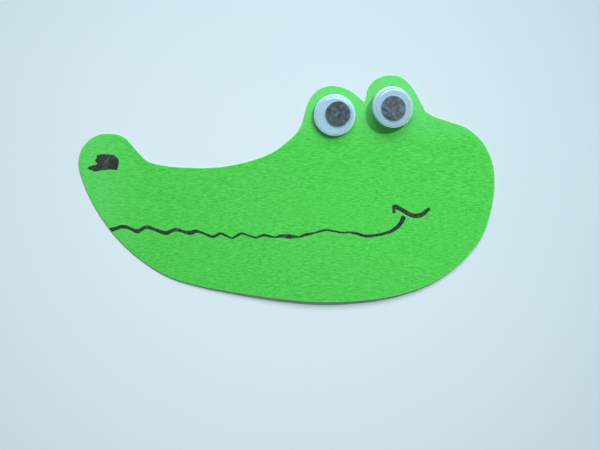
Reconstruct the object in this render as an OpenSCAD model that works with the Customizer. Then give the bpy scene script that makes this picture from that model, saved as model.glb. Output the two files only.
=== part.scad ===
// Crocodile head for a craft stick puppet: a cut card profile, two googly eyes and pen marks.
// The head lies on its back: +X runs from the snout to the back of the head, +Y up the head and
// +Z out of the drawn face. The origin is the middle of the card's back face. Millimetres.

/* [Head card] */
// Length of the head, from the snout to the back of the head
head_length = 147.5; // [120:0.5:190]
// Height of the head, from the chin to the top of the right brow
head_height = 80.5; // [66:0.5:105]
// Thickness of the card
card_t = 0.4; // [0.2:0.05:1.2]

/* [Eyes] */
// Diameter of an eye, across its flange and its white backing
eye_d = 14.8; // [13:0.1:18]
// Thickness of the white backing disc
back_t = 0.8; // [0.4:0.1:1.5]
// Height of the clear dome, from the backing to its crown
dome_h = 3.2; // [2.6:0.1:4.5]
// Wall of the clear dome and of its flange
dome_wall = 0.25; // [0.15:0.05:0.4]
// Width of the flange round the dome's foot
flange_w = 0.55; // [0.3:0.05:0.8]
// How far the dome's wall leans in between its foot and its shoulder
wall_lean = 0.35; // [0.2:0.05:1.2]
// Rise of the crown from the shoulder to its middle
crown_rise = 0.4; // [0.2:0.05:0.8]
// Radius that rounds the shoulder
shoulder_r = 1.25; // [0.5:0.05:1.5]
// Diameter of the loose pupil
pupil_d = 8.7; // [6:0.1:9]
// Thickness of the loose pupil
pupil_t = 0.8; // [0.4:0.1:1.2]

/* [Eye seats] */
// Diameter of the glue dab under an eye
glue_d = 10; // [6:0.5:12]
// Least thickness of the glue dab
glue_t = 0.5; // [0.1:0.05:0.8]
// Tilt of the right eye, which stands higher on the snout's side
right_tilt = 12; // [0:0.5:15]
// Turn of that tilt about +Z, towards the chin
right_lean = 25; // [-45:1:45]
// Where the left pupil lies: its share of the free play, and the direction from the eye's middle
left_pupil_share = 0.65; // [0:0.01:1]
left_pupil_angle = 20; // [-180:1:180]
// The same for the right pupil
right_pupil_share = 0.24; // [0:0.01:1]
right_pupil_angle = -95; // [-180:1:180]

/* [Pen] */
// Width of a full pen stroke
pen_w = 1.6; // [0.6:0.1:2.4]
// Thickness of the ink film
ink_t = 0.06; // [0.03:0.01:0.2]

/* [Hidden] */

$fn = 96;
// Running clearances: beside a pupil that has slid as far as it can, and under it
pupil_gap = 0.1;
pupil_lift = 0.05;
// Bevel round a pupil and round a backing disc
edge_bevel = 0.1;
// Chords in each span of the outline, in each span of a pen stroke, and in a rounded corner
outline_steps = 5;
stroke_steps = 3;
corner_steps = 6;
// Share of a dome's crown, from the axis, that the shoulder's rounding leaves alone
crown_share = 0.8;

eye_r = eye_d / 2;
pupil_r = pupil_d / 2;
foot_r = eye_r - flange_w;
shoulder_x = foot_r - wall_lean;
shoulder_z = dome_h - crown_rise;
pupil_top = pupil_lift + pupil_t;
// Radius of the dome's inside at the height of the pupil's top, and the play that leaves a pupil
cavity_r = foot_r - dome_wall - wall_lean * pupil_top / (shoulder_z - dome_wall);
pupil_play = cavity_r - pupil_r - pupil_gap;

// The head's outline as it was drawn, clockwise: four smooth runs that meet at corners. Only its
// proportions count here: the head is stretched to head_length and head_height.
back_run = [
    [49.4, 27.6], [52.7, 25.8], [57.6, 24.1], [64.1, 21.7], [69.8, 16.5], [73.1, 9.4],
    [73.8, 1.3], [72.4, -8.2], [68.8, -17.7], [61.1, -26.7], [51.1, -33.4], [40.0, -37.3],
    [28.0, -39.3], [14.0, -40.0], [0.3, -39.1], [-15.5, -37.0], [-31.2, -34.1],
    [-42.6, -30.5], [-52.7, -24.1], [-61.2, -16.0], [-67.9, -6.4], [-72.1, 2.4],
    [-73.8, 9.6], [-72.1, 15.4], [-67.2, 19.3], [-61.2, 19.7], [-57.2, 18.1],
    [-54.0, 14.6], [-50.3, 10.6]];
snout_run = [
    [-50.3, 10.6], [-47.1, 9.2], [-41.5, 8.2], [-35.4, 7.8], [-27.4, 7.7], [-19.6, 8.6],
    [-11.8, 10.5], [-4.5, 13.5], [1.6, 18.2], [4.6, 21.4]];
left_brow_run = [
    [4.6, 21.4], [6.1, 25.2], [7.1, 29.2], [9.0, 33.2], [12.6, 36.1], [17.0, 36.8],
    [22.4, 35.1], [27.6, 31.0]];
right_brow_run = [
    [27.6, 31.0], [28.5, 33.4], [29.3, 36.5], [32.0, 39.3], [36.0, 40.5], [40.2, 40.0],
    [43.8, 37.2], [46.5, 33.0], [49.4, 27.5]];

// Middles of the eyes, in the same drawing
left_eye_at = [17.0, 26.35];
right_eye_at = [37.25, 28.95];

// Pen strokes in the same drawing: [x, y, share of the full stroke's width]
mouth_stroke = [
    [-64.6, -14.4, 0.85], [-62.4, -14.3, 0.95], [-60.6, -13.8, 0.82], [-58.8, -13.2, 0.80],
    [-57.0, -13.3, 0.80], [-55.2, -14.0, 0.72], [-53.1, -14.8, 0.95], [-51.5, -14.1, 0.80],
    [-49.7, -13.3, 0.78], [-47.0, -14.1, 0.72], [-44.6, -15.0, 0.82], [-42.7, -15.4, 0.94],
    [-41.1, -14.8, 0.80], [-39.5, -14.2, 0.82], [-37.3, -14.7, 0.68], [-35.4, -15.3, 0.78],
    [-33.8, -15.3, 0.95], [-32.3, -14.8, 0.78], [-30.6, -15.1, 0.55], [-28.4, -16.0, 0.55],
    [-26.3, -16.7, 0.66], [-24.8, -16.2, 0.60], [-23.5, -15.6, 0.58], [-21.5, -16.3, 0.50],
    [-19.4, -17.2, 0.38], [-17.6, -16.3, 0.58], [-15.9, -15.6, 0.48], [-13.6, -16.3, 0.40],
    [-11.0, -17.0, 0.40], [-8.0, -16.2, 0.60], [-4.2, -16.9, 0.38], [-2.4, -16.5, 0.65],
    [-0.6, -16.5, 0.82], [1.2, -16.7, 1.00], [2.9, -16.7, 0.58], [4.8, -16.7, 0.50],
    [6.6, -16.0, 0.68], [9.4, -15.5, 0.46], [13.7, -14.4, 0.46], [16.5, -14.7, 0.42],
    [19.7, -15.3, 0.40], [22.2, -15.2, 0.48], [24.8, -15.6, 0.62], [28.2, -16.5, 0.68],
    [31.5, -16.2, 0.64], [34.6, -15.6, 0.64], [37.2, -14.7, 0.75], [39.4, -13.1, 0.88],
    [40.8, -11.4, 0.98], [41.3, -10.1, 1.12]];
cheek_stroke = [
    [38.6, -6.1, 1.10], [40.3, -6.8, 0.98], [42.2, -8.0, 0.95], [43.9, -8.9, 1.00],
    [45.4, -9.3, 1.00], [47.0, -9.2, 1.06], [48.3, -8.7, 1.00], [49.4, -7.8, 0.90],
    [50.4, -7.0, 0.75]];
// Short hook that starts the cheek line
cheek_hook = [[38.1, -7.8, 0.85], [38.0, -7.0, 0.65], [38.1, -6.1, 0.90]];
nostril_edge = [
    [-70.7, 7.7], [-69.6, 8.4], [-67.6, 8.8], [-67.3, 9.3], [-68.2, 10.4], [-67.5, 11.1],
    [-67.4, 12.2], [-65.0, 12.6], [-61.2, 12.3], [-60.4, 11.5], [-59.6, 10.5], [-59.7, 8.7],
    [-60.2, 6.9], [-62.8, 7.1], [-65.6, 6.8], [-68.0, 6.4], [-69.1, 6.8], [-70.4, 7.2]];

// A point of any number of coordinates on the smooth curve through b and c, at 0 <= t <= 1
function on_curve(a, b, c, d, t) =
    0.5 * (2 * b + (c - a) * t + (2 * a - 5 * b + 4 * c - d) * t * t
        + (3 * b - a - 3 * c + d) * t * t * t);

// A smooth run through the points, from the first up to but not including the last
function smooth_run(points, steps) = [
    for (i = [0 : len(points) - 2]) for (k = [0 : steps - 1])
        on_curve(points[max(i - 1, 0)], points[i], points[i + 1],
            points[min(i + 2, len(points) - 1)], k / steps)];

drawn_outline = [for (run = [back_run, snout_run, left_brow_run, right_brow_run])
    each smooth_run(run, outline_steps)];
drawn_low = [min([for (p = drawn_outline) p[0]]), min([for (p = drawn_outline) p[1]])];
drawn_high = [max([for (p = drawn_outline) p[0]]), max([for (p = drawn_outline) p[1]])];
drawn_size = drawn_high - drawn_low;
drawn_middle = (drawn_low + drawn_high) / 2;

// A point of the drawing, on the real head
function on_head(p) = [
    (p[0] - drawn_middle[0]) * head_length / drawn_size[0],
    (p[1] - drawn_middle[1]) * head_height / drawn_size[1]];

// The arc that rounds corner b between a and c
function rounded(a, b, c, radius) =
    let (
        u = (a - b) / norm(a - b),
        v = (c - b) / norm(c - b),
        half = acos(u * v) / 2,
        middle = b + (u + v) / norm(u + v) * radius / sin(half),
        start = b + u * radius / tan(half) - middle,
        finish = b + v * radius / tan(half) - middle,
        sweep = acos(start * finish / (radius * radius)),
        side = sign(start[0] * finish[1] - start[1] * finish[0])
    )
    [for (k = [0 : corner_steps])
        let (turn = side * sweep * k / corner_steps)
            middle + [start[0] * cos(turn) - start[1] * sin(turn),
                start[0] * sin(turn) + start[1] * cos(turn)]];

// Crown of a dome, from the axis to the shoulder, as an arc through both
function crown(top, edge_x, edge_z) =
    let (rise = top - edge_z, radius = (edge_x * edge_x + rise * rise) / (2 * rise))
    [for (k = [0 : corner_steps - 1])
        let (x = edge_x * crown_share * k / (corner_steps - 1))
            [x, top - radius + sqrt(radius * radius - x * x)]];

// Crown, rounded shoulder and foot of a dome's wall, from the axis outwards
function dome_line(top, edge_x, edge_z, foot, radius) =
    let (arc = crown(top, edge_x, edge_z))
    concat(arc, rounded(arc[corner_steps - 1], [edge_x, edge_z], foot, radius), [foot]);

// Flips a list end for end
function flipped(list) = [for (i = [len(list) - 1 : -1 : 0]) list[i]];

module head_outline() polygon([for (p = drawn_outline) on_head(p)]);

// A pen stroke whose width follows the third value of each point, with round ends
module stroke(points) {
    line = concat(smooth_run(points, stroke_steps), [points[len(points) - 1]]);
    last = len(line) - 1;
    middles = [for (p = line) on_head(p)];
    halves = [for (p = line) pen_w * p[2] / 2];
    // Heading of the pen at each point, as an angle
    ways = [for (i = [0 : last])
        let (step = middles[min(i + 1, last)] - middles[max(i - 1, 0)]) atan2(step[1], step[0])];
    // Point of the stroke's edge, this far round from the heading
    function edge(i, turn) = middles[i] + halves[i] * [cos(ways[i] + turn), sin(ways[i] + turn)];
    polygon(concat(
        [for (i = [1 : last]) edge(i, 90)],
        [for (turn = [60 : -30 : -60]) edge(last, turn)],
        [for (i = [last : -1 : 1]) edge(i, -90)],
        [for (turn = [-90 : -30 : -270]) edge(0, turn)]));
}

// Lays an ink film on the card's front face
module ink() {
    translate([0, 0, card_t]) linear_extrude(ink_t) children();
}

// Places an eye's children at its seat, tilted about its low edge on its glue
module at_eye(place, tilt, lean) {
    seat = on_head(place);
    translate([seat[0], seat[1], card_t + glue_t])
        rotate([0, 0, lean])
            translate([eye_r, 0, 0]) rotate([0, tilt, 0]) translate([-eye_r, 0, 0])
                children();
}

// Glue between the card and the backing, cut off level with the backing's underside
module glue_dab(place, tilt, lean) {
    seat = on_head(place);
    reach = eye_d * (1 + sin(tilt));
    color("white", 0.6)
        difference() {
            translate([seat[0], seat[1], card_t]) cylinder(h = glue_t + reach, d = glue_d);
            at_eye(place, tilt, lean)
                translate([-eye_d, -eye_d, 0]) cube([2 * eye_d, 2 * eye_d, 2 * reach]);
        }
}

// White disc that closes the dome from behind
module backing() {
    color("white")
        rotate_extrude()
            polygon([[0, 0], [eye_r - edge_bevel, 0], [eye_r, edge_bevel], [eye_r, back_t],
                [0, back_t]]);
}

// Clear dome with its flange, standing on the backing
module dome() {
    inside_x = shoulder_x - dome_wall;
    inside_z = shoulder_z - dome_wall;
    outside = dome_line(dome_h, shoulder_x, shoulder_z, [foot_r, dome_wall], shoulder_r);
    inside = dome_line(dome_h - dome_wall, inside_x, inside_z, [foot_r - dome_wall, 0],
        shoulder_r - dome_wall / 2);
    color("lightcyan", 0.35)
        translate([0, 0, back_t])
            rotate_extrude()
                polygon(concat(outside, [[eye_r, dome_wall], [eye_r, 0]], flipped(inside)));
}

// Loose disc on the backing, at its share of the play in the given direction
module pupil(share, angle) {
    away = share * pupil_play;
    color("dimgray")
        translate([away * cos(angle), away * sin(angle), back_t + pupil_lift])
            rotate_extrude()
                polygon([[0, 0], [pupil_r - edge_bevel, 0], [pupil_r, edge_bevel],
                    [pupil_r, pupil_t - edge_bevel], [pupil_r - edge_bevel, pupil_t],
                    [0, pupil_t]]);
}

module head_card() {
    color("limegreen") linear_extrude(card_t) head_outline();
}

module mouth_line() {
    color("black")
        ink() intersection() {
            stroke(mouth_stroke);
            head_outline();
        }
}

module cheek_line() {
    color("black") ink() {
        stroke(cheek_stroke);
        stroke(cheek_hook);
    }
}

module nostril() {
    color("black") ink() polygon([for (p = nostril_edge) on_head(p)]);
}

module left_eye_glue() glue_dab(left_eye_at, 0, 0);
module left_eye_back() at_eye(left_eye_at, 0, 0) backing();
module left_pupil() at_eye(left_eye_at, 0, 0) pupil(left_pupil_share, left_pupil_angle);
module left_eye_dome() at_eye(left_eye_at, 0, 0) dome();

module right_eye_glue() glue_dab(right_eye_at, right_tilt, right_lean);
module right_eye_back() at_eye(right_eye_at, right_tilt, right_lean) backing();
module right_pupil()
    at_eye(right_eye_at, right_tilt, right_lean) pupil(right_pupil_share, right_pupil_angle);
module right_eye_dome() at_eye(right_eye_at, right_tilt, right_lean) dome();

head_card();
mouth_line();
cheek_line();
nostril();
left_eye_glue();
left_eye_back();
left_pupil();
left_eye_dome();
right_eye_glue();
right_eye_back();
right_pupil();
right_eye_dome();
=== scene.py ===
"""Looks of a crocodile head for a craft stick puppet: a cut card profile that curls a little off the
table, pen marks on it, and two googly eyes with loose pupils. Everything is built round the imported
frame. Lengths are in millimetres unless a comment says metres, and angles are in degrees."""

import math

import bpy
import numpy as np
from mathutils import Matrix, Vector, geometry, noise


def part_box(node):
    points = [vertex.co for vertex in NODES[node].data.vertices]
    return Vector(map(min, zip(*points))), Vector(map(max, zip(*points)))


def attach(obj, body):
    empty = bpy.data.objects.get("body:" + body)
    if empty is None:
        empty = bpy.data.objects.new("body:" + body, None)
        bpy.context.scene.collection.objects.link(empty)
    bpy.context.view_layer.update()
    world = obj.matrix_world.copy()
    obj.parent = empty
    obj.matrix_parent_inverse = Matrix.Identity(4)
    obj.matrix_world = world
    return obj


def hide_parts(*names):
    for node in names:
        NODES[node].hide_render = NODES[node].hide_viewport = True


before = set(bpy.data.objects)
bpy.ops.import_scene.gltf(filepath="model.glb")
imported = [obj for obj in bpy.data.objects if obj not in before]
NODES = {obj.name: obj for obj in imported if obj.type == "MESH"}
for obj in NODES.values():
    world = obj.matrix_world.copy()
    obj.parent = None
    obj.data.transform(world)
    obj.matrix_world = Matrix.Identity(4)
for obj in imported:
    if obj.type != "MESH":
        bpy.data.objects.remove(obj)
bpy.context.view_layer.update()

MM = 0.001  # metres

# A CAD face belongs to a front if its normal's Z is above this; the tilted eye's faces do too
FRONT_Z = 0.95

# Card: thickness, spacing of the points on its outline and inside it, the turn from which a corner
# stays sharp, and its cut edge as (distance in from the outline, height), from the underside up
CARD_T = 0.4
CARD_STEP = 0.4
CARD_GRID = 1.2
CARD_CORNER = 14
CARD_EDGE = [
    (0.25, 0.0), (0.04, 0.0), (0.0, 0.05), (0.0, 0.30), (0.03, 0.37), (0.09, 0.40), (0.25, 0.40),
]

# Uneven cut of the card: size, length over which it changes, and seed
CARD_WOBBLE = 0.05
CARD_WOBBLE_PITCH = 2.5
CARD_SEED = 3.0

# Where the card turns paler, and by what share: painted light between two heights towards the brows,
# and a plain paler green between the nose's end and its tip
BROWS_FROM = 16.0
BROWS_TO = 32.0
BROWS_SHARE = 0.55
NOSE_END = -50.0
NOSE_TIP = -66.0
NOSE_SHARE = 0.22

# Curl: how far the chin stands off the table, the heights on the head between which it rises,
# and where along the head it is strongest and how fast it fades to both ends
CURL_LIFT = 1.3
CURL_FROM = 4.0
CURL_TO = -40.0
CURL_MIDDLE = 14.0
CURL_REACH = 44.0

# Ink films: the piece for each CAD node, the same values as the card's, with heights above the
# card's front, and the share of the spacing below which one of two points is left out
INK_PIECES = {"mouth_line": "mouth_ink", "cheek_line": "cheek_ink", "nostril": "nostril_ink"}
INK_STEP = 0.14
INK_GRID = 0.45
INK_CORNER = 30
INK_EDGE = [(0.02, -0.02), (0.0, 0.0), (0.0, 0.012), (0.05, 0.034)]
INK_CLOSEST = 0.6

# Uneven bleeding of the ink: size, length over which it changes, and the first film's seed
INK_BLEED = 0.06
INK_BLEED_PITCH = 0.35
INK_SEED = 10.0

# Points inside an outline: distance between two rows and least distance from the outline, both as
# shares of the points' spacing. Two points closer than MERGED count as one
ROW_PITCH = 0.87
OUTLINE_GAP = 0.55
MERGED = 1e-7

# Eye backing: radius, radius from which its face is a paler rim of painted light, thickness, rounding
# of its lower edge and chamfer of its upper one. Heights on an eye are measured from the backing's
# face
EYE_R = 7.4
RIM_R = 6.3
BACK_T = 0.8
BACK_BEVEL = 0.12
BACK_CHAMFER = 0.03

# Dome: height, wall, radius at the wall's foot, lean of the wall, rise of the crown, radius of the
# shoulder, and height at which the inside ends, just clear of the backing
DOME_H = 3.2
DOME_WALL = 0.25
FOOT_R = 6.85
WALL_LEAN = 0.35
CROWN_RISE = 0.4
SHOULDER_R = 1.25
INSIDE_END = 0.01

# Flange of the dome as (distance in from the eye's rim, height), and the fold between the flange
# and the wall as (distance out from the wall's foot, height)
FLANGE = [(0.04, 0.01), (0.0, 0.05), (0.0, DOME_WALL - 0.06), (0.06, DOME_WALL)]
FOLD = [(0.16, DOME_WALL), (0.05, DOME_WALL + 0.03)]

# Pupil: radius, thickness and rounding of both edges
PUPIL_R = 4.35
PUPIL_T = 0.8
PUPIL_ROUND = 0.16

# Glue: its side as (share of its radius, share of its height), the share of its radius by which it
# has spread unevenly, how often that changes on the way round, and how deep it sinks into the card
# and the backing
GLUE_SIDE = [(1.0, 0.0), (0.975, 0.15), (0.95, 0.4), (0.95, 0.65), (0.975, 1.0)]
GLUE_UNEVEN = 0.07
GLUE_CHANGES = 1.3
GLUE_SINK = 0.01

# Pieces that a full turn, an arc of the dome, its straight wall and a small rounding are made of
SEGMENTS = 128
ARC_PIECES = 16
WALL_PIECES = 4
BEVEL_PIECES = 4
ROUND_PIECES = 5

# Table: half its side in metres, how far it lies under the card so that the two don't touch, the
# brightest point of its painted light, and the distance from there at which its painted shade is
# deepest
TABLE_HALF = 1.5
TABLE_GAP = 0.02
TABLE_BRIGHT = (-42.0, -72.0, 0.0)
TABLE_REACH = 210.0

# Distance of the lights, height of the camera and width of the view at the table, all in metres, and
# the point that the camera looks straight down on
LIGHT_DISTANCE = 0.8
CAMERA_HEIGHT = 0.55
CAMERA_WIDTH = 0.213
CAMERA_AIM = (4.7, -12.85)

# Strength of the even light from all round
WORLD_LEVEL = 0.25


def smooth_step(value):
    """0 up to 0, 1 from 1 on, and a smooth rise in between."""
    t = min(1.0, max(0.0, value))
    return t * t * (3 - 2 * t)


def lift(x, y):
    """How far the card stands off the table at a point of the head."""
    up = smooth_step((CURL_FROM - y) / (CURL_FROM - CURL_TO))
    along = math.exp(-(((x - CURL_MIDDLE) / CURL_REACH) ** 2))
    return CURL_LIFT * up * along


# ---------------------------------------------------------------- outlines

def face_loops(node):
    """Outlines of a CAD node's flat front face, as counter-clockwise loops of points."""
    mesh = node.data
    keys = [tuple(round(c / MM, 4) for c in v.co[:2]) for v in mesh.vertices]
    steps = set()
    for face in mesh.polygons:
        if face.normal.z > FRONT_Z:
            ring = [keys[i] for i in face.vertices]
            steps.update(zip(ring, ring[1:] + ring[:1]))
    after = {a: b for a, b in steps if (b, a) not in steps}
    loops = []
    while after:
        first = min(after)
        loop = [first]
        while (point := after.pop(loop[-1])) != first:
            loop.append(point)
        loops.append(np.array(loop))
    return loops


def on_curve(a, b, c, d, t):
    """Point on the smooth curve through a, b, c and d, at the share t of the way from b to c."""
    bend = 2 * a - 5 * b + 4 * c - d
    twist = 3 * b - a - 3 * c + d
    return 0.5 * (2 * b + (c - a) * t + bend * t * t + twist * t ** 3)


def refined(loop, step, corner):
    """The loop as a smooth curve with points about step apart, kept sharp where it turns by more
    than corner."""
    count = len(loop)
    ahead = np.roll(loop, -1, 0) - loop
    behind = loop - np.roll(loop, 1, 0)
    cross = behind[:, 0] * ahead[:, 1] - behind[:, 1] * ahead[:, 0]
    turn = np.degrees(np.abs(np.arctan2(cross, (behind * ahead).sum(1))))
    points = []
    for i in range(count):
        b = loop[i]
        c = loop[(i + 1) % count]
        a = 2 * b - c if turn[i] > corner else loop[i - 1]
        d = 2 * c - b if turn[(i + 1) % count] > corner else loop[(i + 2) % count]
        pieces = max(1, round(float(np.linalg.norm(c - b)) / step))
        points += [on_curve(a, b, c, d, k / pieces) for k in range(pieces)]
    return np.array(points)


def thinned(loop, least):
    """The loop without the points that lie closer than least to the one before."""
    kept = [loop[0]]
    for point in loop[1:]:
        if np.hypot(*(point - kept[-1])) >= least and np.hypot(*(point - loop[0])) >= least:
            kept.append(point)
    return np.array(kept)


def outward(loop):
    """Unit vectors that point out of a counter-clockwise loop at its points."""
    along = np.roll(loop, -1, 0) - np.roll(loop, 1, 0)
    out = np.stack([along[:, 1], -along[:, 0]], 1)
    return out / np.linalg.norm(out, axis=1)[:, None]


def wobbled(loop, size, pitch, seed):
    """The loop with its points moved out and in by up to size, over lengths of about pitch."""
    shift = [noise.noise(Vector((x / pitch, y / pitch, seed))) for x, y in loop]
    return loop + outward(loop) * size * np.array(shift)[:, None]


def inside(loop, points):
    """Which of the points lie inside the loop."""
    found = np.zeros(len(points), bool)
    for (ax, ay), (bx, by) in zip(loop, np.roll(loop, -1, 0)):
        if ay != by:
            crossing = ax + (points[:, 1] - ay) * (bx - ax) / (by - ay)
            found ^= ((ay > points[:, 1]) != (by > points[:, 1])) & (points[:, 0] < crossing)
    return found


def filled(loop, grid):
    """Points and triangles that fill the loop; the loop's own points come first."""
    low = loop.min(0)
    high = loop.max(0)
    across = np.arange(low[0], high[0], grid)
    up = np.arange(low[1], high[1], grid * ROW_PITCH)
    inner = np.array([(x + grid / 2 * (row % 2), y) for row, y in enumerate(up) for x in across])
    inner = inner[inside(loop, inner)]
    clear = [np.hypot(*(loop - p).T).min() > OUTLINE_GAP * grid for p in inner]
    points = np.vstack([loop, inner[np.array(clear, bool)]])
    edges = [(i, (i + 1) % len(loop)) for i in range(len(loop))]
    made = geometry.delaunay_2d_cdt([Vector(p) for p in points], edges, [], 1, MERGED)
    if len(made[0]) != len(points):
        raise ValueError("the outline crosses itself, or two of its points are one")
    origins = made[3]
    return points, [tuple(origins[i][0] for i in face) for face in made[2]]


# ---------------------------------------------------------------- meshes

def new_piece(name, points, faces, body, materials, face_materials):
    """A smooth-shaded piece that rides on a body; face_materials picks each face's material."""
    mesh = bpy.data.meshes.new(name)
    mesh.from_pydata([Vector(p) * MM for p in points], [], faces)
    mesh.polygons.foreach_set("use_smooth", [True] * len(faces))
    for material in materials:
        mesh.materials.append(material)
    mesh.polygons.foreach_set("material_index", face_materials)
    mesh.update()
    piece = bpy.data.objects.new(name, mesh)
    bpy.context.scene.collection.objects.link(piece)
    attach(piece, body)
    return piece


def film(name, loop, edge, grid, base, materials):
    """A closed sheet that follows the curled card. edge runs from its underside's rim to its front's
    rim as (distance in from the outline, height above base). The last material is the cut edge's."""
    out = outward(loop)
    count = len(loop)
    rim, triangles = filled(loop - out * edge[-1][0], grid)
    inner = rim[count:]

    def placed(flat, height):
        return [(x, y, base + height + lift(x, y)) for x, y in flat]

    points = placed(rim, edge[-1][1])
    top = len(points)
    for depth, height in edge[1:-1]:
        points += placed(loop - out * depth, height)
    under = len(points)
    points += placed(loop - out * edge[0][0], edge[0][1]) + placed(inner, edge[0][1])
    rows = [under] + [top + k * count for k in range(len(edge) - 2)] + [0]
    faces = [*triangles, *(tuple(under + i for i in reversed(t)) for t in triangles)]
    flat_faces = len(faces)
    for low, high in zip(rows, rows[1:]):
        for i in range(count):
            n = (i + 1) % count
            faces.append((low + i, low + n, high + n, high + i))
    cut = [0] * flat_faces + [len(materials) - 1] * (len(faces) - flat_faces)
    return new_piece(name, points, faces, "head", materials, cut)


def seat_of(node):
    """Place and tilt of a CAD disc's upper face: +Z is its normal."""
    area = 0.0
    normal = Vector()
    middle = Vector()
    for face in NODES[node].data.polygons:
        if face.normal.z > FRONT_Z:
            area += face.area
            normal += face.normal * face.area
            middle += face.center * face.area
    normal.normalize()
    across = (Vector((1, 0, 0)) - normal * normal.x).normalized()
    turn = Matrix((across, normal.cross(across), normal)).transposed().to_4x4()
    return Matrix.Translation(middle / area / MM) @ turn


def lathed(name, profile, seat, body, materials, shape=None, second=()):
    """A closed piece of revolution about the seat's +Z. profile runs up the outside from the axis to
    the axis, as (radius, height). shape may move a point (radius, angle in radians, height) to make
    it less regular. The bands of faces after the profile's points listed in second take the second
    material. Points of the profile partway along a flat end keep the triangles there short."""
    points = []
    rings = []
    for radius, height in profile:
        if radius == 0:
            level = shape(0, 0, height)[1] if shape else height
            rings.append([len(points)])
            points.append(seat @ Vector((0, 0, level)))
            continue
        rings.append(list(range(len(points), len(points) + SEGMENTS)))
        for k in range(SEGMENTS):
            angle = 2 * math.pi * k / SEGMENTS
            r, h = shape(radius, angle, height) if shape else (radius, height)
            points.append(seat @ Vector((r * math.cos(angle), r * math.sin(angle), h)))
    faces = []
    for low, high in zip(rings, rings[1:]):
        for k in range(SEGMENTS):
            n = (k + 1) % SEGMENTS
            if len(low) == 1:
                faces.append((low[0], high[n], high[k]))
            elif len(high) == 1:
                faces.append((low[k], low[n], high[0]))
            else:
                faces.append((low[k], low[n], high[n], high[k]))
    bands = [int(band in second) for band in range(len(profile) - 1) for _ in range(SEGMENTS)]
    return new_piece(name, points, faces, body, materials, bands)


# ---------------------------------------------------------------- colours

def linear(red, green, blue):
    """An 8-bit sRGB colour as the linear RGBA that a node takes."""
    parts = [c / 255 for c in (red, green, blue)]
    return tuple(c / 12.92 if c <= 0.04045 else ((c + 0.055) / 1.055) ** 2.4 for c in parts) + (1.0,)


# Card and its cut edge, pen, glue, pupils, domes, table, and what shows beyond it
DYE_DEEP = linear(50, 181, 52)
DYE_PALE = linear(94, 219, 100)
DYE_CLOUD = linear(78, 204, 80)
# Paler green: painted light towards the brows, and a paler tone towards the nose's tip
PALER_GREEN = linear(116, 220, 134)
CUT_DEEP = linear(84, 200, 86)
CUT_PALE = linear(122, 226, 120)
INK_FULL = linear(6, 12, 10)
INK_THIN = linear(42, 50, 46)
INK_STREAK = linear(70, 82, 74)
GLUE_DEEP = linear(226, 230, 214)
GLUE_PALE = linear(240, 242, 232)
PUPIL_BLACK = linear(0, 0, 0)
# Pale blue-grey of the pupil's patches: a painted reflection of the pale room
PUPIL_PAINTED_SHEEN = linear(80, 99, 108)
PUPIL_TINT = linear(44, 34, 42)
PUPIL_DUST = linear(96, 98, 104)
PLASTIC_CLEAR = linear(253, 254, 255)
PLASTIC_MILKY = linear(222, 240, 252)
TABLE_PAINTED_LIGHT = linear(218, 238, 247)
TABLE_PAINTED_SHADE = linear(171, 194, 203)
TABLE_GRAIN = linear(206, 224, 233)
BACKDROP = linear(206, 234, 247)


# ---------------------------------------------------------------- materials

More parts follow.
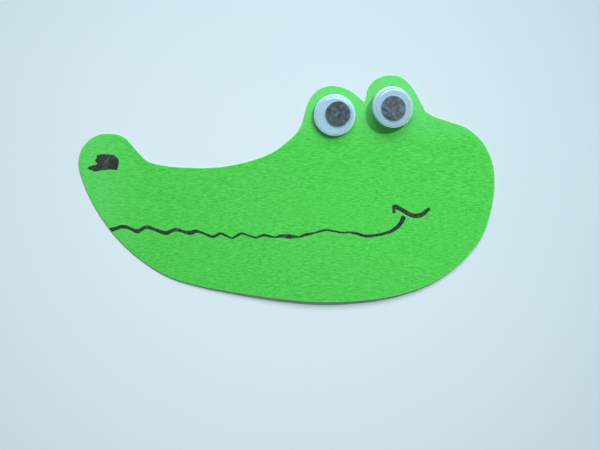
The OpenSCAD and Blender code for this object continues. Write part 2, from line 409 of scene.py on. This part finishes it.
class Nodes:
    """Short calls to add and join the nodes of one material."""

    def __init__(self, name):
        self.material = bpy.data.materials.new(name)
        self.material.use_nodes = True
        self.tree = self.material.node_tree
        self.shader = self.tree.nodes["Principled BSDF"]
        self.output = self.tree.nodes["Material Output"]
        self.place = self.add("ShaderNodeTexCoord").outputs["Object"]

    def add(self, kind, **values):
        node = self.tree.nodes.new(kind)
        for key, value in values.items():
            setattr(node, key, value)
        return node

    def join(self, source, target):
        self.tree.links.new(source, target)

    def spots(self, size, stretch=(1, 1, 1), detail=2.0, turn=0.0):
        """Noise from 0 to 1 with features about size wide, stretched and then turned about Z."""
        mapping = self.add("ShaderNodeMapping", vector_type="TEXTURE")
        mapping.inputs["Scale"].default_value = stretch
        mapping.inputs["Rotation"].default_value = (0, 0, math.radians(turn))
        self.join(self.place, mapping.inputs["Vector"])
        texture = self.add("ShaderNodeTexNoise")
        texture.inputs["Scale"].default_value = 1 / (size * MM)
        texture.inputs["Detail"].default_value = detail
        self.join(mapping.outputs["Vector"], texture.inputs["Vector"])
        return texture.outputs["Fac"]

    def math(self, operation, *values):
        """A Math node's result; each value is a number or another node's socket."""
        node = self.add("ShaderNodeMath", operation=operation)
        for socket, value in zip(node.inputs, values):
            if isinstance(value, (int, float)):
                socket.default_value = value
            else:
                self.join(value, socket)
        return node.outputs[0]

    def scaled(self, value, factor):
        return self.math("MULTIPLY", value, factor)

    def ranged(self, value, low, high, of=(0.3, 0.7)):
        """value, stretched from the range of to the range low to high."""
        node = self.add("ShaderNodeMapRange")
        sockets = ("From Min", "From Max", "To Min", "To Max")
        for key, number in zip(sockets, (*of, low, high)):
            node.inputs[key].default_value = number
        self.join(value, node.inputs["Value"])
        return node.outputs["Result"]

    def mixed(self, factor, first, second):
        """A colour between two colours; each is a linear RGBA or another node's socket."""
        node = self.add("ShaderNodeMix", data_type="RGBA")
        self.join(factor, node.inputs["Factor"])
        # The node holds sockets for every data type; the colours' are 6 and 7, and 2 on the way out
        for socket, value in ((node.inputs[6], first), (node.inputs[7], second)):
            if isinstance(value, tuple):
                socket.default_value = value
            else:
                self.join(value, socket)
        return node.outputs[2]

    def blended(self, factor, first, second):
        """A shader between two shader nodes; factor is a float or another node's socket."""
        node = self.add("ShaderNodeMixShader")
        if isinstance(factor, float):
            node.inputs["Fac"].default_value = factor
        else:
            self.join(factor, node.inputs["Fac"])
        self.join(first.outputs[0], node.inputs[1])
        self.join(second.outputs[0], node.inputs[2])
        return node

    def bumped(self, height, depth, strength=1.0):
        """Bump from height, with a relief of depth."""
        node = self.add("ShaderNodeBump")
        node.inputs["Strength"].default_value = strength
        node.inputs["Distance"].default_value = depth * MM
        self.join(height, node.inputs["Height"])
        return node.outputs["Normal"]

    def finished(self, colour, roughness, bump, specular):
        """The material, with these nodes' colour, roughness and bump on its shader."""
        self.join(colour, self.shader.inputs["Base Color"])
        self.join(roughness, self.shader.inputs["Roughness"])
        self.join(bump, self.shader.inputs["Normal"])
        self.shader.inputs["Specular IOR Level"].default_value = specular
        return self.material


def card_face():
    """Dyed craft card: short fibres that lie along its grain, a little uneven in the dye, with
    painted light that makes it paler towards the brows, and paler towards the nose's tip."""
    m = Nodes("green_card")
    fibres = m.spots(0.62, stretch=(2.8, 0.62, 1), detail=3.0)
    flecks = m.spots(0.33, stretch=(1.8, 0.75, 1), turn=8)
    fuzz = m.spots(0.16, stretch=(1.6, 1, 1), detail=1.0)
    clouds = m.spots(14)
    tone = m.math("ADD", m.scaled(fibres, 0.6), m.scaled(flecks, 0.4))
    colour = m.mixed(m.ranged(tone, 0, 1, of=(0.36, 0.64)), DYE_DEEP, DYE_PALE)
    colour = m.mixed(m.ranged(clouds, 0, 0.35), colour, DYE_CLOUD)
    split = m.add("ShaderNodeSeparateXYZ")
    m.join(m.place, split.inputs["Vector"])
    # Painted light makes the card paler towards the brows; it also turns paler towards the nose's tip
    brows = m.ranged(split.outputs["Y"], 0, BROWS_SHARE, of=(BROWS_FROM * MM, BROWS_TO * MM))
    nose = m.ranged(split.outputs["X"], NOSE_SHARE, 0, of=(NOSE_TIP * MM, NOSE_END * MM))
    colour = m.mixed(m.math("MAXIMUM", brows, nose), colour, PALER_GREEN)
    relief = m.bumped(m.math("ADD", fibres, m.scaled(fuzz, 0.6)), 0.05, strength=0.7)
    return m.finished(colour, m.ranged(tone, 0.92, 0.78), relief, specular=0.25)


def card_cut():
    """Cut edge of the card, paler where the fibres stand open."""
    m = Nodes("green_card_cut")
    fibres = m.spots(0.22, stretch=(3, 3, 0.5))
    colour = m.mixed(m.ranged(fibres, 0, 1), CUT_DEEP, CUT_PALE)
    return m.finished(colour, m.ranged(fibres, 0.95, 0.85), m.bumped(fibres, 0.06), specular=0.2)


def pen_ink():
    """Marker ink that soaked into the card unevenly, with the strokes' paler streaks."""
    m = Nodes("black_ink")
    streaks = m.spots(0.8, stretch=(0.6, 3.0, 1), turn=-38)
    soaked = m.spots(0.5, stretch=(2.0, 0.8, 1), detail=3.0)
    dark = m.mixed(m.ranged(soaked, 0, 1, of=(0.42, 0.6)), INK_FULL, INK_THIN)
    colour = m.mixed(m.ranged(streaks, 0, 0.8, of=(0.52, 0.64)), dark, INK_STREAK)
    return m.finished(colour, m.ranged(soaked, 0.5, 0.75), m.bumped(soaked, 0.02), specular=0.4)


def white_glue():
    """Dried craft glue: milky, smooth, with faint ripples."""
    m = Nodes("craft_glue")
    ripples = m.spots(1.6, detail=1.0)
    colour = m.mixed(m.ranged(ripples, 0, 1), GLUE_DEEP, GLUE_PALE)
    return m.finished(colour, m.ranged(ripples, 0.25, 0.45), m.bumped(ripples, 0.12), specular=0.5)


def white_board(name, deep, pale):
    """White board under a thin print of pale blue-white, between two 8-bit sRGB colours, with a
    slightly darker grain."""
    m = Nodes(name)
    grain = m.spots(0.3, detail=3.0)
    clouds = m.spots(3.0, detail=1.0)
    grain_colour = linear(*(0.97 * c for c in deep))
    colour = m.mixed(m.ranged(clouds, 0, 1), linear(*deep), linear(*pale))
    colour = m.mixed(m.ranged(grain, 0, 0.25), colour, grain_colour)
    return m.finished(colour, m.ranged(grain, 0.5, 0.62), m.bumped(grain, 0.01), specular=0.4)


def black_disc():
    """Pupil: punched black plastic, with pale blue-grey patches of painted sheen in place of
    reflections, and with scuffs and dust.
    """
    m = Nodes("black_pupil")
    sheen_patches = m.spots(1.5, detail=3.0)
    tinted = m.spots(2.2, detail=1.0)
    scuffs = m.spots(0.5, stretch=(1.5, 1, 1), detail=4.0, turn=25)
    dust = m.spots(0.12, detail=1.0)
    tone = m.math("ADD", m.scaled(sheen_patches, 0.6), m.scaled(scuffs, 0.4))
    # Pale blue-grey patches: painted sheen, a reflection painted into the colour
    colour = m.mixed(m.ranged(tone, 0, 1, of=(0.44, 0.56)), PUPIL_BLACK, PUPIL_PAINTED_SHEEN)
    colour = m.mixed(m.ranged(tinted, 0, 0.6, of=(0.5, 0.6)), colour, PUPIL_TINT)
    colour = m.mixed(m.ranged(dust, 0, 0.4, of=(0.66, 0.78)), colour, PUPIL_DUST)
    return m.finished(colour, m.ranged(scuffs, 0.3, 0.55), m.bumped(scuffs, 0.012), specular=0.3)


def clear_shell():
    """Formed clear plastic: light goes straight through. The gloss grows with the slant up to a
    limit, and so does a faint milky veil, because a slanting look crosses more plastic."""
    m = Nodes("clear_dome")
    m.tree.nodes.remove(m.shader)
    wave = m.bumped(m.spots(3.2, detail=0.0), 0.05, strength=0.3)
    weight = m.add("ShaderNodeLayerWeight")
    weight.inputs["Blend"].default_value = 0.5
    slant = weight.outputs["Facing"]
    # Gloss from 3 % of the light head-on up to 10 %, veil from 1 % head-on up to half at grazing
    gloss_share = m.math("MINIMUM", m.math("ADD", m.scaled(slant, 0.55), 0.03), 0.1)
    veil_share = m.math("ADD", m.scaled(m.math("POWER", slant, 3.0), 0.5), 0.01)
    clear = m.add("ShaderNodeBsdfTransparent")
    clear.inputs["Color"].default_value = PLASTIC_CLEAR
    gloss = m.add("ShaderNodeBsdfGlossy")
    gloss.inputs["Roughness"].default_value = 0.17
    m.join(wave, gloss.inputs["Normal"])
    near = m.add("ShaderNodeBsdfDiffuse")
    near.inputs["Color"].default_value = PLASTIC_MILKY
    far = m.add("ShaderNodeBsdfTranslucent")
    far.inputs["Color"].default_value = PLASTIC_MILKY
    veil = m.blended(0.5, near, far)
    body = m.blended(veil_share, clear, veil)
    shell = m.blended(gloss_share, body, gloss)
    m.join(shell.outputs[0], m.output.inputs["Surface"])
    return m.material


def table_paper():
    """Pale table: cool white paper, with painted light that is brightest at one point and painted
    shade that deepens away from it.
    """
    m = Nodes("table_paper")
    grain = m.spots(0.8, detail=3.0)
    reach = m.add("ShaderNodeVectorMath", operation="DISTANCE")
    m.join(m.place, reach.inputs[0])
    reach.inputs[1].default_value = [c * MM for c in TABLE_BRIGHT]
    away = m.math("POWER", m.math("DIVIDE", reach.outputs["Value"], TABLE_REACH * MM), 2.0)
    # Painted light and shade: brighter near TABLE_BRIGHT, darker further away from it
    colour = m.mixed(m.ranged(away, 0, 1, of=(0, 1)), TABLE_PAINTED_LIGHT, TABLE_PAINTED_SHADE)
    colour = m.mixed(m.ranged(grain, 0, 0.08), colour, TABLE_GRAIN)
    return m.finished(colour, m.ranged(grain, 0.75, 0.9), m.bumped(grain, 0.01), specular=0.2)


CARD_FACE = card_face()
CARD_CUT = card_cut()
INK = pen_ink()
GLUE = white_glue()
WHITE = {
    "left": white_board("white_backing", (160, 208, 226), (174, 219, 237)),
    # The right disc is painted darker: painted shade that offsets the extra light its tilted face
    # catches
    "right": white_board("white_backing_painted_shade", (144, 189, 207), (158, 200, 217)),
}
# Paler rims: painted light in place of the light through the domes' walls; the right one is also
# painted shade
RIM_PAINTED_LIGHT = {
    "left": white_board("white_backing_rim_painted_light", (186, 230, 238), (198, 238, 246)),
    "right": white_board("white_backing_rim_painted_light_and_shade", (166, 207, 215), (178, 215, 223)),
}
BLACK = black_disc()
CLEAR = clear_shell()
TABLE = table_paper()


# ---------------------------------------------------------------- the head

def build_card():
    """Card profile, from the CAD card's own outline."""
    loop = refined(face_loops(NODES["head_card"])[0], CARD_STEP, CARD_CORNER)
    loop = wobbled(loop, CARD_WOBBLE, CARD_WOBBLE_PITCH, CARD_SEED)
    finishes = [CARD_FACE, CARD_CUT]
    card = film("card_profile", loop, CARD_EDGE, CARD_GRID, 0.0, finishes)
    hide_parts("head_card")


def build_ink():
    """Pen marks, as films that lie on the card and follow its curl."""
    for order, (node, name) in enumerate(INK_PIECES.items()):
        loop = refined(face_loops(NODES[node])[0], INK_STEP, INK_CORNER)
        loop = thinned(loop, INK_STEP * INK_CLOSEST)
        loop = wobbled(loop, INK_BLEED, INK_BLEED_PITCH, INK_SEED + order)
        ink = film(name, loop, INK_EDGE, INK_GRID, CARD_T, [INK])
        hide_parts(node)


def arc(middle, radius, start, finish, count):
    """Points (radius, height) on an arc about middle, from one angle to another."""
    angles = [math.radians(start + (finish - start) * k / count) for k in range(count + 1)]
    return [(middle[0] + radius * math.cos(a), middle[1] + radius * math.sin(a)) for a in angles]


def build_backing(side, seat):
    """White disc that closes the eye. The band of its face outside RIM_R is a paler rim of painted
    light, in place of the light that the dome's wall brings down.
    """
    disc = [(0, -BACK_T), (EYE_R * 0.5, -BACK_T)]
    disc += arc((EYE_R - BACK_BEVEL, -BACK_T + BACK_BEVEL), BACK_BEVEL, -90, 0, BEVEL_PIECES)
    disc += [(EYE_R, -BACK_CHAMFER), (EYE_R - BACK_CHAMFER, 0)]
    rim = [len(disc) - 1]
    disc += [(RIM_R, 0), (EYE_R * 0.6, 0), (0, 0)]
    finishes = [WHITE[side], RIM_PAINTED_LIGHT[side]]
    name = f"{side}_white_disc"
    backing = lathed(name, disc, seat, "head", finishes, second=rim)
    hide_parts(f"{side}_eye_back")


def dome_line(depth):
    """Section of the dome, from the axis to its foot, this far in from its outside: a shallow crown,
    a round shoulder that touches it, and a straight wall."""
    foot = Vector((FOOT_R, DOME_WALL))
    edge = Vector((FOOT_R - WALL_LEAN, DOME_H - CROWN_RISE))
    up = (edge - foot).normalized()
    inwards = Vector((-up.y, up.x))
    crown_r = (edge.x ** 2 + CROWN_RISE ** 2) / (2 * CROWN_RISE)
    crown = Vector((0, DOME_H - crown_r))
    start = foot + inwards * SHOULDER_R
    along = (start - crown).dot(up)
    rest = (start - crown).length_squared - (crown_r - SHOULDER_R) ** 2
    shoulder = start + up * (math.sqrt(along ** 2 - rest) - along)
    join = math.degrees(math.atan2(shoulder.y - crown.y, shoulder.x))
    side = math.degrees(math.atan2(-inwards.y, -inwards.x))
    points = arc(crown, crown_r - depth, 90, join, ARC_PIECES)[:-1]
    points += arc(shoulder, SHOULDER_R - depth, join, side, ARC_PIECES)
    low = shoulder - inwards * (SHOULDER_R - depth)
    end = DOME_WALL if depth == 0 else INSIDE_END
    base = low - up * ((low.y - end) / up.y)
    points += [tuple(low.lerp(base, k / WALL_PIECES)) for k in range(1, WALL_PIECES + 1)]
    return [(0, points[0][1])] + points[1:]


def build_dome(side, seat):
    """The clear shell, as one closed skin: down its inside, round the flange and up its outside."""
    flange = [(EYE_R - depth, height) for depth, height in FLANGE]
    fold = [(FOOT_R + out, height) for out, height in FOLD]
    profile = dome_line(DOME_WALL) + flange + fold + dome_line(0)[-2::-1]
    dome = lathed(f"{side}_clear_dome", profile, seat, "head", [CLEAR])
    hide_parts(f"{side}_eye_dome")


def build_pupil(side):
    """Loose black disc, rounded at both edges, on its own body."""
    seat = seat_of(f"{side}_pupil")
    disc = [(0, -PUPIL_T), (PUPIL_R * 0.5, -PUPIL_T)]
    middle_r = PUPIL_R - PUPIL_ROUND
    disc += arc((middle_r, -PUPIL_T + PUPIL_ROUND), PUPIL_ROUND, -90, 0, ROUND_PIECES)
    disc += arc((middle_r, -PUPIL_ROUND), PUPIL_ROUND, 0, 90, ROUND_PIECES)
    disc += [(PUPIL_R * 0.9, 0), (PUPIL_R * 0.5, 0), (0, 0)]
    body = f"{side}_pupil_disc"
    pupil = lathed(f"{side}_pupil_disc", disc, seat, body, [BLACK])
    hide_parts(f"{side}_pupil")


def build_glue(side, eye_seat):
    """Dab of glue between the card and the backing, a wedge where the eye is tilted."""
    node = f"{side}_eye_glue"
    low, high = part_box(node)
    middle = (low + high) / 2 / MM
    radius = (high.x - low.x) / 2 / MM
    under = eye_seat @ Matrix.Translation((0, 0, -BACK_T))
    normal = under.to_3x3() @ Vector((0, 0, 1))
    foot = under.translation

    def top_at(x, y):
        """Height of the backing's underside."""
        return foot.z - (normal.x * (x - foot.x) + normal.y * (y - foot.y)) / normal.z

    def squeezed(r, angle, height):
        """A point of the dab; height is a share, 0 on the card and 1 on the backing."""
        place = Vector((math.cos(angle) * GLUE_CHANGES, math.sin(angle) * GLUE_CHANGES, middle.x))
        spread = 1 + GLUE_UNEVEN * noise.noise(place)
        x = middle.x + r * spread * math.cos(angle)
        y = middle.y + r * spread * math.sin(angle)
        bottom = CARD_T - GLUE_SINK
        return r * spread, bottom + height * (top_at(x, y) + GLUE_SINK - bottom)

    sides = [(radius * share, height) for share, height in GLUE_SIDE]
    seat = Matrix.Translation((middle.x, middle.y, 0))
    profile = [(0, 0.0), (radius * 0.6, 0.0), *sides, (radius * 0.6, 1.0), (0, 1.0)]
    glue = lathed(f"{side}_glue_dab", profile, seat, "head", [GLUE], squeezed)
    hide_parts(node)


build_card()
build_ink()
for eye_side in ("left", "right"):
    backing_seat = seat_of(f"{eye_side}_eye_back")
    build_backing(eye_side, backing_seat)
    build_dome(eye_side, backing_seat)
    build_pupil(eye_side)
    build_glue(eye_side, backing_seat)


# ---------------------------------------------------------------- table, light and camera

def build_table():
    mesh = bpy.data.meshes.new("table")
    corners = [(-1, -1), (1, -1), (1, 1), (-1, 1)]
    points = [(x * TABLE_HALF, y * TABLE_HALF, -TABLE_GAP * MM) for x, y in corners]
    mesh.from_pydata(points, [], [(0, 1, 2, 3)])
    mesh.materials.append(TABLE)
    table = bpy.data.objects.new("table", mesh)
    bpy.context.scene.collection.objects.link(table)


def area_light(name, azimuth, elevation, size, power, mirrored):
    """A rectangle of light, with its size in metres and its power in watts, that faces the head.
    Azimuth is from +X towards +Y. One that isn't mirrored makes light and shade but no highlights."""
    data = bpy.data.lights.new(name, "AREA")
    data.shape = "RECTANGLE"
    data.size, data.size_y = size
    data.energy = power
    light = bpy.data.objects.new(name, data)
    a = math.radians(azimuth)
    e = math.radians(elevation)
    way = Vector((math.cos(a) * math.cos(e), math.sin(a) * math.cos(e), math.sin(e)))
    light.location = way * LIGHT_DISTANCE
    light.rotation_euler = way.to_track_quat("Z", "Y").to_euler()
    light.visible_glossy = mirrored
    bpy.context.scene.collection.objects.link(light)


def build_world():
    """Even light from all round; the camera, gloss and clear pieces see the backdrop instead."""
    world = bpy.data.worlds.new("studio")
    bpy.context.scene.world = world
    world.use_nodes = True
    nodes = world.node_tree.nodes
    links = world.node_tree.links
    nodes.clear()
    path = nodes.new("ShaderNodeLightPath")
    seen = path.outputs["Is Camera Ray"]
    for ray in ("Is Glossy Ray", "Is Transmission Ray"):
        either = nodes.new("ShaderNodeMath")
        either.operation = "MAXIMUM"
        links.new(seen, either.inputs[0])
        links.new(path.outputs[ray], either.inputs[1])
        seen = either.outputs[0]
    around = nodes.new("ShaderNodeBackground")
    around.inputs["Color"].default_value = (1, 1, 1, 1)
    around.inputs["Strength"].default_value = WORLD_LEVEL
    behind = nodes.new("ShaderNodeBackground")
    behind.inputs["Color"].default_value = BACKDROP
    mix = nodes.new("ShaderNodeMixShader")
    links.new(seen, mix.inputs["Fac"])
    links.new(around.outputs[0], mix.inputs[1])
    links.new(behind.outputs[0], mix.inputs[2])
    output = nodes.new("ShaderNodeOutputWorld")
    links.new(mix.outputs[0], output.inputs["Surface"])


def build_camera():
    """A camera that looks straight down on CAMERA_AIM."""
    data = bpy.data.cameras.new("camera")
    data.sensor_width = 36
    data.lens = data.sensor_width * CAMERA_HEIGHT / CAMERA_WIDTH
    data.clip_start = 0.01
    data.clip_end = 10
    camera = bpy.data.objects.new("camera", data)
    camera.location = (CAMERA_AIM[0] * MM, CAMERA_AIM[1] * MM, CAMERA_HEIGHT)
    bpy.context.scene.collection.objects.link(camera)
    bpy.context.scene.camera = camera


build_table()
build_world()
area_light("window", azimuth=80, elevation=37, size=(0.9, 0.3), power=4.9, mirrored=True)
area_light("lamp", azimuth=45, elevation=50, size=(0.05, 0.05), power=3.4, mirrored=False)
build_camera()
bpy.context.scene.view_settings.view_transform = "Standard"
